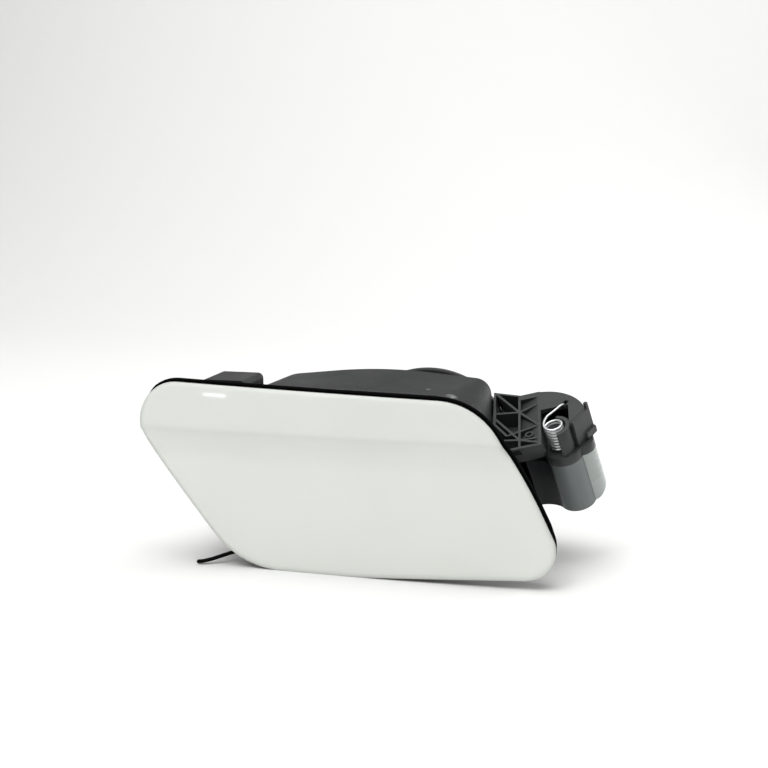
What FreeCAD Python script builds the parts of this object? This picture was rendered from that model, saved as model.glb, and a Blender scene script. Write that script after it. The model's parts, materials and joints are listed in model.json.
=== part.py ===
"""Fuel filler flap with its bowl, gooseneck arm and sprung hinge pocket.

Millimetres. X runs along the flap towards its hinge, Y runs from the flap's outer face back into
the bowl and Z is up. The sizes below are drawn from the middle of the flap's outer face, with the
flap standing on Z = 0. The pieces are written with the origin moved to the filler neck's axis,
where it meets the back of the bowl.
"""
import FreeCAD
import Part
import math
import os

Vec = FreeCAD.Vector

# Flap: corners of the outline as (x, z, corner radius)
FLAP_CORNERS = [
    (-53.4, 0.0, 45.0),
    (10.0, 0.0, 300.0),
    (116.5, 6.0, 15.5),
    (95.0, 51.0, 180.0),
    (68.0, 92.0, 36.0),
    (-130.0, 97.0, 20.3),
]
PANEL_THICKNESS = 2.6
BOND_GAP = 0.1
PANEL_CROWN_RADIUS = 1800.0
PANEL_CROWN_ANGLE = 4.6
CREASE_Z = 71.5
CREASE_LEAN = 3.4
CREASE_STEP = 1.9
BELLY_BACK = 2.6
PROFILE_TOP_Z = 101.0
PROFILE_BOTTOM_Z = -3.0

# Carrier behind the panel
RIM_INSET = 0.5
RIM_WIDTH = 2.8
RIM_BACK_Y = 14.0
RIM_GROOVE_DEPTH = 0.7
RIM_GROOVE_WIDTH = 1.4
WEB_THICKNESS = 2.0
RIB_WIDTH = 1.8
RIB_BACK_Y = 11.0
RIB_SPACING = 32.0

# Edge seal and its loose end
SEAL_LIP = 1.5
SEAL_INSET = 0.9
SEAL_WIDTH = 3.2
TAIL_THICKNESS = 1.2
TAIL_WIDTH = 2.2
TAIL_REACH = 27.0
TAIL_RISE = 4.4
TAIL_FORWARD = 13.0

# Hinge axis: point on the axis at the end plate, and its lean
HINGE_X = 102.6
HINGE_Y = 30.0
HINGE_Z = 77.8
LEAN_FRONT = 25.0
LEAN_SIDE = 15.0

# Hinge pocket, along the axis (w) and across it (u right, v back)
POCKET_LENGTH = 50.0
HOUSING_DEPTH = 20.0
POCKET_WALL = 2.2
END_PLATE = 2.4
POCKET_FLOOR = 3.5
BACK_V = 31.3
RIGHT_U = 17.0
POCKET_LEFT_U = -38.0
MOUTH_U = -19.0
FRONT_WALL_V = 3.2
NOSE_RADIUS = 9.3
COVER_CORNER = 10.0

# Pin, knuckle, spring
PIN_RADIUS = 2.5
PIN_RUNNING_GAP = 0.05
KNUCKLE_RADIUS = 5.5
KNUCKLE_GAP = 1.0
SPRING_RADIUS = 4.4
SPRING_WIRE = 1.2
SPRING_SIDES = 8
SPRING_PITCH = 2 * SPRING_RADIUS * math.tan(math.pi / SPRING_SIDES / 2)
SPRING_TURNS = 8
LEG_CORNER = (-2.4, 8.0)
LEG_BEND_RADIUS = 2.5
HOOK_RADIUS = 1.6
SPRING_SEAT_GAP = 0.3
SPRING_SLOT = (6.2, 15.6)
SEAT_DEPTH = 14.6
TUBE_INNER = 6.2
TUBE_WALL = 2.0

# Gooseneck arm
ARM_THICKNESS = 4.6
ARM_END_GAP = 2.5
ARM_BULGE_U = 8.0
ARM_BULGE_V = 12.5
ARM_BACK_V = 22.5
ARM_LEFT_U = -29.0
ARM_SWEEP_GAP = 2.0

# Rib lattice on the end plate
LATTICE_LEFT_U = -29.5
LATTICE_RIGHT_U = -7.3
LATTICE_BACK_V = 27.0
LATTICE_FRONT_V = -12.5
LATTICE_DEPTH = 9.0
LATTICE_SHALLOW = 3.2
LATTICE_WEDGE_V = 39.5
LATTICE_RIB = 1.2
BLOCK_LEFT_U = -31.0
BLOCK_FRONT_V = -14.0
CAVITY_LEFT_U = -6.0
CAVITY_BACK_V = 14.5
LATTICE_SPINE_U = -17.0
UPPER_NODE_V = 16.5
LOWER_NODE_V = -7.0
BOSS_RADIUS = 2.2

# Retaining clip on the right of the half tube
CLIP_LENGTH = 14.0
CLIP_HEIGHT = 15.0
CLIP_THICKNESS = 1.8
CLIP_LIP = 1.2
CLIP_LIP_HEIGHT = 4.0
CLIP_EAR = 3.2
CLIP_ANGLE = 52.0

# Bowl: outline corners at the front flange and at the rear wall
BOWL_FRONT_CORNERS = [
    (-46.0, 7.0, 22.0),
    (72.0, 7.0, 16.0),
    (75.0, 90.5, 30.0),
    (2.0, 92.0, 260.0),
    (-74.0, 91.5, 22.0),
]
BOWL_REAR_CORNERS = [
    (-34.0, 0.0, 24.0),
    (63.0, 0.0, 20.0),
    (68.0, 93.5, 9.0),
    (8.0, 98.3, 260.0),
    (-64.0, 90.0, 20.0),
]
BOWL_FRONT_Y = 17.0
BOWL_REAR_Y = 62.0
BOWL_WALL = 2.2
BOWL_FLOOR = 3.0
FLANGE_WIDTH = 1.2
FLANGE_THICKNESS = 2.4
POCKET_FIT = 0.25

# Lock box at the upper left of the bowl
LOCK_LEFT_X = -79.0
LOCK_RIGHT_X = -54.0
LOCK_TOP_Z = 95.5
LOCK_BOTTOM_Z = 68.0
LOCK_BACK_Y = 44.0
LOCK_BORE = 6.5
LOCK_WALL = 2.4

# Rubber collar to the filler neck
NECK_X = 33.0
NECK_Z = 50.5
NECK_BORE = 28.0
COLLAR_RADIUS = 47.0
COLLAR_GROOVE_RADIUS = 41.0
COLLAR_PLUG_RADIUS = 37.0
COLLAR_GROOVE = 4.0
COLLAR_FLANGE = 5.5
SLEEVE_WALL = 4.0
SLEEVE_LENGTH = 13.0
COLLAR_FIT = 0.2
COLLAR_ROOM = 0.6

# Small pieces
BUSH_WALL = 1.5
BUSH_FLANGE = 1.5
BUSH_LENGTH = 8.0
BUSH_FIT = 0.3
STRIKER_THICKNESS = 3.0
STRIKER_HEIGHT = 8.0
STRIKER_BACK_Y = 36.0
STRIKER_GAP = 3.1
STRIKER_NOTCH = 4.0
HOLDER_X = 0.0
HOLDER_Z = 46.9
HOLDER_RADIUS = 15.0
HOLDER_WALL = 2.0
HOLDER_BACK_Y = 20.0
HOLDER_GAP = 12.0
BUFFER_RADIUS = 3.0
BUFFER_GAP = 0.4
DRAIN_X = -18.0
DRAIN_Z = 15.0
DRAIN_BORE = 4.0
DRAIN_WALL = 1.6
DRAIN_FLANGE = 2.5
DRAIN_LENGTH = 12.0


def rounded_wire(corners, y):
    """Closed wire in the plane Y = y through corners (x, z, radius)."""
    count = len(corners)
    starts = []
    ends = []
    mids = []
    for index in range(count):
        x, z, radius = corners[index]
        here = Vec(x, y, z)
        before = corners[index - 1]
        after = corners[(index + 1) % count]
        to_before = (Vec(before[0], y, before[1]) - here).normalize()
        to_after = (Vec(after[0], y, after[1]) - here).normalize()
        half = to_before.getAngle(to_after) / 2
        reach = radius / math.tan(half)
        middle = (to_before + to_after).normalize()
        starts.append(here + to_before * reach)
        ends.append(here + to_after * reach)
        mids.append(here + middle * (radius / math.sin(half) - radius))
    edges = []
    for index in range(count):
        edges.append(Part.Arc(starts[index], mids[index], ends[index]).toShape())
        edges.append(Part.makeLine(ends[index], starts[(index + 1) % count]))
    return Part.Wire(edges)


def inset_prism(corners, inset, y_from, y_to):
    """Prism along Y of an outline moved inwards by inset."""
    face = Part.Face(rounded_wire(corners, y_from))
    if inset:
        face = face.makeOffset2D(-inset)
    return face.extrude(Vec(0, y_to - y_from, 0))


def panel_curve(y_offset):
    """Outer face of the flap in the plane X = 0, moved back by y_offset."""
    top = Vec(0, CREASE_LEAN + y_offset, PROFILE_TOP_Z)
    crease = Vec(0, y_offset, CREASE_Z)
    upper = Part.makeLine(top, crease)
    curve = Part.BSplineCurve()
    curve.interpolate([
        crease,
        Vec(0, CREASE_STEP + y_offset, CREASE_Z - 5.0),
        Vec(0, 0.75 * CREASE_STEP + y_offset, CREASE_Z - 12.0),
        Vec(0, 0.35 * CREASE_STEP + y_offset, CREASE_Z - 28.0),
        Vec(0, 0.3 * BELLY_BACK + y_offset, CREASE_Z - 47.0),
        Vec(0, BELLY_BACK + y_offset, PROFILE_BOTTOM_Z),
    ])
    return [upper, curve.toShape()]


def panel_slab(front, back):
    """Crowned slab between the flap's outer face moved back by front and by back."""
    near = panel_curve(front)
    far = panel_curve(back)
    top = Part.makeLine(near[0].Vertexes[0].Point, far[0].Vertexes[0].Point)
    bottom = Part.makeLine(near[1].Vertexes[-1].Point, far[1].Vertexes[-1].Point)
    face = Part.Face(Part.Wire(Part.sortEdges(near + far + [top, bottom])[0]))
    centre = Vec(0, PANEL_CROWN_RADIUS, 0)
    face.rotate(centre, Vec(0, 0, 1), -PANEL_CROWN_ANGLE)
    return face.revolve(centre, Vec(0, 0, 1), 2 * PANEL_CROWN_ANGLE)


def box(x0, x1, y0, y1, z0, z1):
    """Box between two corners."""
    return Part.makeBox(x1 - x0, y1 - y0, z1 - z0, Vec(x0, y0, z0))


def hinge_directions():
    """Unit vectors u (right), v (back) and w (up the axis) of the hinge."""
    front = math.radians(LEAN_FRONT)
    side = math.radians(LEAN_SIDE)
    w = Vec(-math.sin(side) * math.cos(front), -math.sin(front), math.cos(side) * math.cos(front))
    u = Vec(math.cos(side), 0, math.sin(side))
    return u, w.cross(u), w


def on_hinge(shape):
    """Place a shape drawn in hinge axes (X = u, Y = v, Z = w) in the part's frame."""
    u, v, w = hinge_directions()
    matrix = FreeCAD.Matrix(
        u.x, v.x, w.x, HINGE_X,
        u.y, v.y, w.y, HINGE_Y,
        u.z, v.z, w.z, HINGE_Z,
        0, 0, 0, 1,
    )
    placed = shape.copy()
    placed.Placement = FreeCAD.Placement(matrix).multiply(shape.Placement)
    return placed


def cylinder(radius, w_from, w_to, u=0.0, v=0.0):
    """Cylinder along the hinge axis, in hinge axes."""
    return Part.makeCylinder(radius, w_to - w_from, Vec(u, v, w_from))


def extrude_w(wire, w_from, w_to):
    """Solid of a wire drawn at w = 0, in hinge axes."""
    face = Part.Face(wire)
    face.translate(Vec(0, 0, w_from))
    return face.extrude(Vec(0, 0, w_to - w_from))


def arc(a, b, c):
    """Arc edge through three (u, v) points."""
    return Part.Arc(Vec(a[0], a[1], 0), Vec(b[0], b[1], 0), Vec(c[0], c[1], 0)).toShape()


def line(a, b):
    """Line edge between two (u, v) points."""
    return Part.makeLine(Vec(a[0], a[1], 0), Vec(b[0], b[1], 0))


def pocket_wire(inset):
    """Outline of the pocket across the hinge axis, moved inwards by inset."""
    back = BACK_V - inset
    right = RIGHT_U - inset
    nose = NOSE_RADIUS - inset
    left = POCKET_LEFT_U - inset
    bulge = (RIGHT_U * 0.5 - 0.7 * inset, BACK_V * 0.742 - 0.7 * inset)
    shoulder = (NOSE_RADIUS * 1.1 - inset, -NOSE_RADIUS * 0.36)
    nose_left = (-nose * 0.78, -nose * 0.42)
    wall = inset + 1.0
    edges = [
        line((left, back), (-12.0, back)),
        arc((-12.0, back), bulge, (right, 5.0)),
        arc((right, 5.0), (right - 1.0, -0.4), shoulder),
        arc(shoulder, (1.5, -nose), nose_left),
        arc(nose_left, (nose_left[0] - 4.5, wall - 1.7), (MOUTH_U, wall)),
        line((MOUTH_U, wall), (left, wall)),
        line((left, wall), (left, back)),
    ]
    return Part.Wire(edges)


def cavity_wire():
    """Room for the arm inside the pocket, across the hinge axis."""
    back = BACK_V - POCKET_WALL
    right = RIGHT_U - POCKET_WALL
    left = POCKET_LEFT_U - POCKET_WALL
    room = KNUCKLE_RADIUS + KNUCKLE_GAP
    start = (room * 0.97, -room * 0.243)
    end = (-room * 0.96, room * 0.28)
    edges = [
        line((left, back), (-12.2, back)),
        arc((-12.2, back), (RIGHT_U * 0.5 - 1.5, BACK_V * 0.742 - 1.5), (right, 5.0)),
        line((right, 5.0), start),
        arc(start, (0, -room), end),
        line(end, (end[0] - 1.2, FRONT_WALL_V)),
        line((end[0] - 1.2, FRONT_WALL_V), (left, FRONT_WALL_V)),
        line((left, FRONT_WALL_V), (left, back)),
    ]
    return Part.Wire(edges)


def cover_bottom(inset):
    """Rounded lower end of the cover, as a block in hinge axes."""
    low = -POCKET_LENGTH + inset
    right = RIGHT_U + 1.0 - inset
    radius = COVER_CORNER - inset
    turn = radius * math.sqrt(0.5)
    centre_u = right - radius
    centre_w = low + radius
    edges = [
        Part.makeLine(Vec(-60, 0, low), Vec(centre_u, 0, low)),
        Part.Arc(Vec(centre_u, 0, low), Vec(centre_u + turn, 0, centre_w - turn),
                 Vec(right, 0, centre_w)).toShape(),
        Part.makeLine(Vec(right, 0, centre_w), Vec(right, 0, 5)),
        Part.makeLine(Vec(right, 0, 5), Vec(-60, 0, 5)),
        Part.makeLine(Vec(-60, 0, 5), Vec(-60, 0, low)),
    ]
    face = Part.Face(Part.Wire(edges))
    face.translate(Vec(0, -60, 0))
    return face.extrude(Vec(0, 120, 0))


def rib(a, b, w_from, w_to, width):
    """Straight rib between two (u, v) points, in hinge axes."""
    start = Vec(a[0], a[1], w_from)
    run = Vec(b[0] - a[0], b[1] - a[1], 0)
    solid = Part.makeBox(run.Length, width, w_to - w_from, Vec(0, -width / 2, 0))
    solid.rotate(Vec(0, 0, 0), Vec(0, 0, 1), math.degrees(math.atan2(run.y, run.x)))
    solid.translate(start)
    return solid


def make_panel():
    """Painted outer skin."""
    return panel_slab(0.0, PANEL_THICKNESS).common(inset_prism(FLAP_CORNERS, 0.0, -12.0, 30.0))


def bent_line(points, radii):
    """Edges of a line through points, its inner corners rounded to radii."""
    edges = []
    last = points[0]
    for index in range(1, len(points) - 1):
        here = points[index]
        radius = radii[index - 1]
        to_before = (points[index - 1] - here).normalize()
        to_after = (points[index + 1] - here).normalize()
        half = to_before.getAngle(to_after) / 2
        start = here + to_before * (radius / math.tan(half))
        end = here + to_after * (radius / math.tan(half))
        middle = here + (to_before + to_after).normalize() * (radius / math.sin(half) - radius)
        edges.append(Part.makeLine(last, start))
        edges.append(Part.Arc(start, middle, end).toShape())
        last = end
    edges.append(Part.makeLine(last, points[-1]))
    return edges


def arm_path():
    """Centre line of the gooseneck arm, in hinge axes."""
    points = [
        Vec(1.5, 3.0, 0),
        Vec(ARM_BULGE_U, ARM_BULGE_V, 0),
        Vec(2.0, ARM_BACK_V, 0),
        Vec(ARM_LEFT_U, ARM_BACK_V, 0),
        Vec(ARM_LEFT_U, -60.0, 0),
    ]
    return Part.Wire(bent_line(points, [7.0, 7.0, 11.0]))


def arm_span():
    """Lower and upper end of the arm along the hinge axis."""
    low = -POCKET_LENGTH + POCKET_FLOOR + ARM_END_GAP
    high = -HOUSING_DEPTH - ARM_END_GAP
    return low, high


def make_arm():
    """Gooseneck arm with its knuckle, in the part's frame."""
    low, high = arm_span()
    path = arm_path()
    first = path.Edges[0]
    along = first.tangentAt(first.FirstParameter)
    across = Vec(-along.y, along.x, 0) * (ARM_THICKNESS / 2)
    start = Vec(1.5, 3.0, 0)
    corners = [start + across + Vec(0, 0, low), start + across + Vec(0, 0, high),
               start - across + Vec(0, 0, high), start - across + Vec(0, 0, low)]
    section = Part.Wire(Part.makePolygon(corners + [corners[0]]).Edges)
    path.translate(Vec(0, 0, low))
    band = path.makePipeShell([section], True, False)
    knuckle = cylinder(KNUCKLE_RADIUS, low, high)
    arm = band.fuse(knuckle)
    arm = arm.cut(cylinder(PIN_RADIUS + PIN_RUNNING_GAP, low - 1, high + 1))
    return on_hinge(arm)


def make_carrier():
    """Inner frame with rim band, ribs and gooseneck arm."""
    outer = inset_prism(FLAP_CORNERS, RIM_INSET, -12.0, RIM_BACK_Y)
    inner = inset_prism(FLAP_CORNERS, RIM_INSET + RIM_WIDTH, -12.0, RIM_BACK_Y + 1.0)
    behind = panel_slab(-60.0, PANEL_THICKNESS + BOND_GAP)
    rim = outer.cut(inner)
    groove_y = RIM_BACK_Y - 3.4
    groove = inset_prism(FLAP_CORNERS, -1.0, groove_y, groove_y + RIM_GROOVE_WIDTH)
    groove = groove.cut(inset_prism(FLAP_CORNERS, RIM_INSET + RIM_GROOVE_DEPTH, groove_y - 1.0, RIM_BACK_Y))
    rim = rim.cut(groove)
    web = panel_slab(PANEL_THICKNESS / 2, PANEL_THICKNESS + WEB_THICKNESS)
    web = web.common(inset_prism(FLAP_CORNERS, RIM_INSET + RIM_WIDTH / 2, -12.0, 30.0))
    bars = []
    for index in range(-2, 3):
        x = index * RIB_SPACING
        bars.append(box(x - RIB_WIDTH / 2, x + RIB_WIDTH / 2, 0.0, RIB_BACK_Y, -2.0, 100.0))
    bars.append(box(-110.0, 110.0, 0.0, RIB_BACK_Y, 46.0, 46.0 + RIB_WIDTH))
    ribs = bars[0].multiFuse(bars[1:])
    ribs = ribs.common(inset_prism(FLAP_CORNERS, RIM_INSET + RIM_WIDTH / 2, -12.0, 30.0))
    arm = make_arm().common(box(-150.0, 150.0, PANEL_THICKNESS / 2, 120.0, -20.0, 120.0))
    frame = rim.fuse(web).fuse(ribs).fuse(arm)
    return frame.cut(behind)


def make_edge_seal():
    """Rubber lip on the back of the rim, with a loose end at the lower left."""
    lip = inset_prism(FLAP_CORNERS, SEAL_INSET, RIM_BACK_Y, RIM_BACK_Y + SEAL_LIP)
    lip = lip.cut(inset_prism(FLAP_CORNERS, SEAL_INSET + SEAL_WIDTH, RIM_BACK_Y - 1.0, RIM_BACK_Y + 9.0))
    root = Vec(-46.0, RIM_BACK_Y + TAIL_WIDTH / 2, 3.1)
    points = [
        root,
        root + Vec(-0.4 * TAIL_REACH, -0.28 * TAIL_FORWARD, 0.6 * TAIL_RISE),
        root + Vec(-0.66 * TAIL_REACH, -0.6 * TAIL_FORWARD, 0.3 * TAIL_RISE),
        root + Vec(-1.15 * TAIL_REACH, -TAIL_FORWARD, -0.4 * TAIL_RISE),
    ]
    spine = Part.BSplineCurve()
    spine.interpolate(points)
    path = Part.Wire(spine.toShape())
    half = TAIL_WIDTH / 2
    thin = TAIL_THICKNESS / 2
    corners = [root + Vec(0, -half, -thin), root + Vec(0, half, -thin),
               root + Vec(0, half, thin), root + Vec(0, -half, thin)]
    section = Part.Wire(Part.makePolygon(corners + [corners[0]]).Edges)
    tail = path.makePipeShell([section], True, False)
    tail = tail.cut(inset_prism(FLAP_CORNERS, RIM_INSET, -12.0, RIM_BACK_Y))
    seal = lip.fuse(tail)
    return max(seal.Solids, key=lambda solid: solid.Volume)


def bowl_solid(inset, y_front, y_rear):
    """Bowl body between the front and rear outlines, moved inwards by inset."""
    wires = []
    for corners, y in ((BOWL_FRONT_CORNERS, BOWL_FRONT_Y), (BOWL_REAR_CORNERS, BOWL_REAR_Y)):
        wire = rounded_wire(corners, y)
        if inset:
            wire = wire.makeOffset2D(-inset)
        wires.append(wire)
    solid = Part.makeLoft(wires, True, True)
    return solid.common(box(-150.0, 150.0, y_front, y_rear, -20.0, 120.0))


def make_bowl():
    """Moulded bowl with front flange, lock box, neck seat and room for the hinge pocket."""
    outer = bowl_solid(0.0, BOWL_FRONT_Y, BOWL_REAR_Y)
    inner = bowl_solid(BOWL_WALL, BOWL_FRONT_Y - 1.0, BOWL_REAR_Y - BOWL_FLOOR)
    flange = Part.Face(rounded_wire(BOWL_FRONT_CORNERS, BOWL_FRONT_Y)).makeOffset2D(FLANGE_WIDTH)
    flange = flange.extrude(Vec(0, FLANGE_THICKNESS, 0))
    flange = flange.common(box(-150, 150, 0, 100, 1.0, 94.5))
    lock = box(LOCK_LEFT_X, LOCK_RIGHT_X, BOWL_FRONT_Y, LOCK_BACK_Y, LOCK_BOTTOM_Z, LOCK_TOP_Z)
    lock_edges = [e for e in lock.Edges if abs(e.BoundBox.YLength) > 1]
    lock = lock.makeFillet(3.0, lock_edges)
    lock_room = box(LOCK_LEFT_X + LOCK_WALL, LOCK_RIGHT_X - LOCK_WALL, BOWL_FRONT_Y - 1.0,
                    LOCK_BACK_Y - LOCK_WALL, LOCK_BOTTOM_Z + LOCK_WALL, LOCK_TOP_Z - LOCK_WALL)
    bowl = outer.multiFuse([flange, lock])
    bowl = bowl.cut(inner)
    bowl = bowl.cut(lock_room)
    neck_start = Vec(NECK_X, BOWL_REAR_Y - 2 * BOWL_FLOOR, NECK_Z)
    neck = Part.makeCylinder(COLLAR_PLUG_RADIUS, 3 * BOWL_FLOOR, neck_start, Vec(0, 1, 0))
    bowl = bowl.cut(neck)
    bore_x, bore_z = lock_axis()
    bore = Vec(bore_x, LOCK_BACK_Y - LOCK_WALL, bore_z)
    bowl = bowl.cut(Part.makeCylinder(LOCK_BORE + BUSH_WALL, 2 * LOCK_WALL, bore, Vec(0, 1, 0)))
    seat = Vec(bore_x, LOCK_BACK_Y, bore_z)
    seat_radius = LOCK_BORE + 2 * BUSH_WALL + BUSH_FIT
    bowl = bowl.cut(Part.makeCylinder(seat_radius, BUSH_LENGTH + BUSH_FIT, seat, Vec(0, 1, 0)))
    drain = Vec(DRAIN_X, BOWL_REAR_Y - BOWL_FLOOR, DRAIN_Z)
    bowl = bowl.cut(Part.makeCylinder(DRAIN_BORE + DRAIN_WALL, 2 * BOWL_FLOOR, drain, Vec(0, 1, 0)))
    low, high = arm_span()
    reach = math.hypot(ARM_LEFT_U - ARM_THICKNESS / 2, ARM_BACK_V + ARM_THICKNESS / 2) + ARM_SWEEP_GAP
    bowl = bowl.cut(on_hinge(cylinder(reach, low - ARM_SWEEP_GAP, high + ARM_SWEEP_GAP)))
    plug = extrude_w(pocket_wire(-POCKET_FIT), -POCKET_LENGTH - POCKET_FIT, POCKET_FIT)
    block = housing_block(POCKET_FIT)
    bowl = bowl.cut(on_hinge(plug))
    bowl = bowl.cut(on_hinge(block))
    wedge = lattice_wedge(-POCKET_FIT, -LATTICE_DEPTH - POCKET_WALL - POCKET_FIT, POCKET_FIT)
    bowl = bowl.cut(on_hinge(wedge))
    return max(bowl.Solids, key=lambda solid: solid.Volume)


def housing_block(grow):
    """Wedge-ended block of the lattice, in hinge axes, grown by a fit."""
    left = BLOCK_LEFT_U - grow
    profile = [
        Vec(left, BACK_V + grow, grow),
        Vec(left, BLOCK_FRONT_V - grow, grow),
        Vec(left, 1.0 - grow, -HOUSING_DEPTH),
        Vec(left, BACK_V + grow, -HOUSING_DEPTH),
    ]
    face = Part.Face(Part.makePolygon(profile + [profile[0]]))
    return face.extrude(Vec(CAVITY_LEFT_U - left, 0, 0))


def lattice_room():
    """Recess of the lattice, its floor rising to the right, in hinge axes."""
    profile = [
        Vec(LATTICE_LEFT_U, LATTICE_FRONT_V, 1.0),
        Vec(LATTICE_LEFT_U, LATTICE_FRONT_V, -LATTICE_DEPTH),
        Vec(LATTICE_SPINE_U, LATTICE_FRONT_V, -LATTICE_DEPTH),
        Vec(LATTICE_SPINE_U, LATTICE_FRONT_V, -LATTICE_SHALLOW),
        Vec(LATTICE_RIGHT_U, LATTICE_FRONT_V, 0.0),
        Vec(LATTICE_RIGHT_U, LATTICE_FRONT_V, 1.0),
    ]
    face = Part.Face(Part.makePolygon(profile + [profile[0]]))
    return face.extrude(Vec(0, LATTICE_BACK_V - LATTICE_FRONT_V, 0))


def lattice_wedge(inset, w_from, w_to):
    """Wedge behind the lattice's left half, moved inwards by inset, in hinge axes."""
    left = BLOCK_LEFT_U + inset
    right = LATTICE_SPINE_U + LATTICE_RIB / 2
    slope = (LATTICE_WEDGE_V - BACK_V) / (right - BLOCK_LEFT_U)
    drop = inset * math.hypot(1.0, slope)
    back = LATTICE_WEDGE_V - drop - slope * inset
    low = LATTICE_BACK_V - 1.0
    corners = [Vec(left, low, 0), Vec(right, low, 0), Vec(right, BACK_V - drop, 0), Vec(left, back, 0)]
    return extrude_w(Part.makePolygon(corners + [corners[0]]), w_from, w_to)


def lattice_ribs():
    """Truss ribs that cross the lattice recess, in hinge axes."""
    upper = (LATTICE_SPINE_U, UPPER_NODE_V)
    lower = (LATTICE_SPINE_U, LOWER_NODE_V)
    spans = [
        ((LATTICE_SPINE_U, BACK_V), (LATTICE_SPINE_U, LATTICE_FRONT_V)),
        (upper, (LATTICE_LEFT_U, LATTICE_WEDGE_V - 2.0)),
        (upper, (LATTICE_LEFT_U, UPPER_NODE_V + 3.0)),
        (upper, (-8.0, UPPER_NODE_V + 4.0)),
        (upper, (-7.4, 3.0)),
        (lower, (LATTICE_LEFT_U, 14.5)),
        ((-23.5, -1.5), (LATTICE_LEFT_U, 9.5)),
        ((-23.5, -1.5), (-7.5, 2.2)),
        (lower, (LATTICE_LEFT_U, LOWER_NODE_V + 3.6)),
        (lower, (-6.8, -12.0)),
        (lower, (-6.8, LOWER_NODE_V - 1.0)),
    ]
    ribs = [rib(a, b, -LATTICE_DEPTH, 0.0, LATTICE_RIB) for a, b in spans]
    ring = cylinder(BOSS_RADIUS, -LATTICE_DEPTH, 0.0, -12.0, -3.8)
    ribs.append(ring)
    solid = ribs[0].multiFuse(ribs[1:])
    return solid.cut(cylinder(BOSS_RADIUS - 0.8, -4.0, 1.0, -12.0, -3.8))


def make_housing():
    """End plate with rib lattice, spring recess and half tube."""
    wedge = lattice_wedge(0.0, -LATTICE_DEPTH - POCKET_WALL, 0.0)
    block = housing_block(0.0).fuse(wedge)
    inside = block.copy()
    block = block.cut(lattice_room())
    block = block.cut(lattice_wedge(LATTICE_RIB, -LATTICE_DEPTH, 1.0))
    ribs = lattice_ribs().common(inside)
    hollow = box(BLOCK_LEFT_U - 1.0, CAVITY_LEFT_U - POCKET_WALL, FRONT_WALL_V, BACK_V - POCKET_WALL,
                 -HOUSING_DEPTH - 1.0, -LATTICE_DEPTH - POCKET_WALL)
    block = block.cut(hollow)
    skin = extrude_w(pocket_wire(0.0), -HOUSING_DEPTH, 0.0)
    skin = skin.common(box(CAVITY_LEFT_U - 1.0, 40.0, -40.0, 60.0, -HOUSING_DEPTH, 0.0))
    room = extrude_w(pocket_wire(POCKET_WALL), -SEAT_DEPTH, -END_PLATE)
    room = room.common(box(CAVITY_LEFT_U, 40.0, -40.0, 60.0, -HOUSING_DEPTH, 0.0))
    skin = skin.cut(room)
    pit = box(CAVITY_LEFT_U, TUBE_INNER + TUBE_WALL, -30.0, CAVITY_BACK_V, -SEAT_DEPTH, 1.0)
    front = box(TUBE_INNER, 40.0, -30.0, -1.0, -SEAT_DEPTH, 1.0)
    skin = skin.cut(pit)
    skin = skin.cut(front)
    skin = skin.cut(clip_seat())
    tube = cylinder(TUBE_INNER + TUBE_WALL, -HOUSING_DEPTH, -1.0)
    tube = tube.cut(cylinder(TUBE_INNER, -SEAT_DEPTH, 1.0))
    opening = box(-20.0, 1.5, -20.0, 20.0, -SEAT_DEPTH, 5.0)
    tube = tube.cut(opening)
    slot_u, slot_v = SPRING_SLOT
    slot = box(slot_u - SPRING_WIRE, slot_u + SPRING_WIRE, slot_v - SPRING_WIRE, slot_v + 2.4 * SPRING_WIRE,
               -END_PLATE - 1.0, 1.0)
    slot.rotate(Vec(slot_u, slot_v, 0), Vec(0, 0, 1), -35.0)
    housing = block.multiFuse([ribs, skin, tube])
    housing = housing.cut(slot)
    housing = housing.cut(cylinder(PIN_RADIUS, -HOUSING_DEPTH - 1.0, 1.0))
    return on_hinge(housing).cut(collar_room())


def make_cover():
    """Lower hinge tube with the side shell and the front wall."""
    shell = extrude_w(pocket_wire(0.0), -POCKET_LENGTH, -HOUSING_DEPTH)
    shell = shell.common(cover_bottom(0.0))
    room = extrude_w(cavity_wire(), -POCKET_LENGTH + POCKET_FLOOR, -HOUSING_DEPTH + 1.0)
    room = room.common(cover_bottom(POCKET_WALL))
    shell = shell.cut(room)
    mouth = box(-60.0, MOUTH_U, -30.0, FRONT_WALL_V, -POCKET_LENGTH - 1.0, -HOUSING_DEPTH + 1.0)
    shell = shell.cut(mouth)
    shell = shell.cut(cylinder(PIN_RADIUS, -POCKET_LENGTH - 1.0, 1.0))
    shell = on_hinge(shell).cut(collar_room())
    return max(shell.Solids, key=lambda solid: solid.Volume)


def make_pin():
    """Steel hinge pin."""
    pin = cylinder(PIN_RADIUS, -POCKET_LENGTH + 0.6, -2.0)
    return on_hinge(pin)


def wire_piece(edge, side):
    """Wire along one line or arc of the spring, its flats turned to side."""
    start = edge.valueAt(edge.FirstParameter)
    up = side.cross(edge.tangentAt(edge.FirstParameter))
    corners = []
    for index in range(SPRING_SIDES):
        angle = 2 * math.pi * (index + 0.5) / SPRING_SIDES
        corners.append(start + (side * math.cos(angle) + up * math.sin(angle)) * (SPRING_WIRE / 2))
    face = Part.Face(Part.makePolygon(corners + [corners[0]]))
    if isinstance(edge.Curve, Part.Circle):
        turn = math.degrees(edge.LastParameter - edge.FirstParameter)
        return face.revolve(edge.Curve.Center, edge.Curve.Axis, turn)
    return face.extrude(edge.valueAt(edge.LastParameter) - start)


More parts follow.
